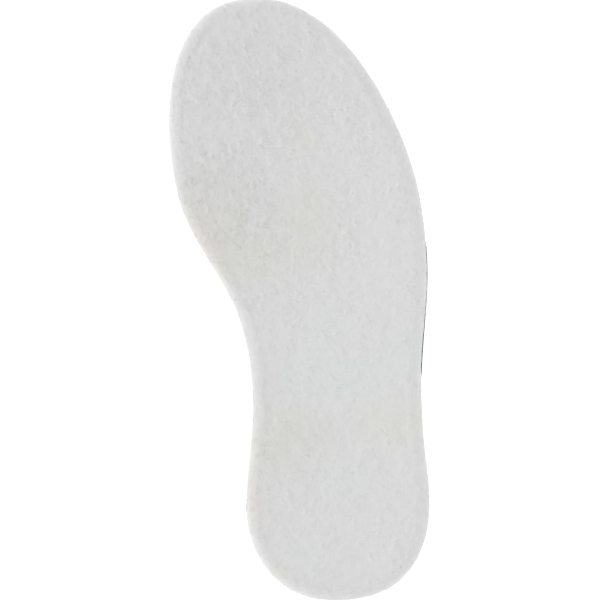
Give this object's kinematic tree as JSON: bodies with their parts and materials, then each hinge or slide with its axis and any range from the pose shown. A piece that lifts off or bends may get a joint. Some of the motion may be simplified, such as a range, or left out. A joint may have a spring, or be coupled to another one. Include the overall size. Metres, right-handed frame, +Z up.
{
  "type": "cushioned insole",
  "caption": "Flat right-foot shoe insole: white felt cover with a rolled edge, bonded over a foam cushion and a thin dark backing.",
  "frame": {"origin": "centre of the outline's box, on the flat underside", "axes": "+X towards the outer (lateral) side, +Y from heel to toe along the straight inner side, +Z up out of the felt face"},
  "size_m": [0.0698, 0.18, 0.0054],
  "materials": {
    "felt": "matte needle-punched felt with a brushed, slightly mottled face",
    "glue_web": "thin translucent hot-melt net",
    "foam": "fine closed-cell foam, matte",
    "backing": "matte, finely pimpled"
  },
  "bodies": {
    "root": {"felt_cover": "felt", "upper_glue_web": "glue_web", "foam_cushion": "foam", "lower_glue_web": "glue_web", "non_slip_backing": "backing"}
  },
  "joints": []
}
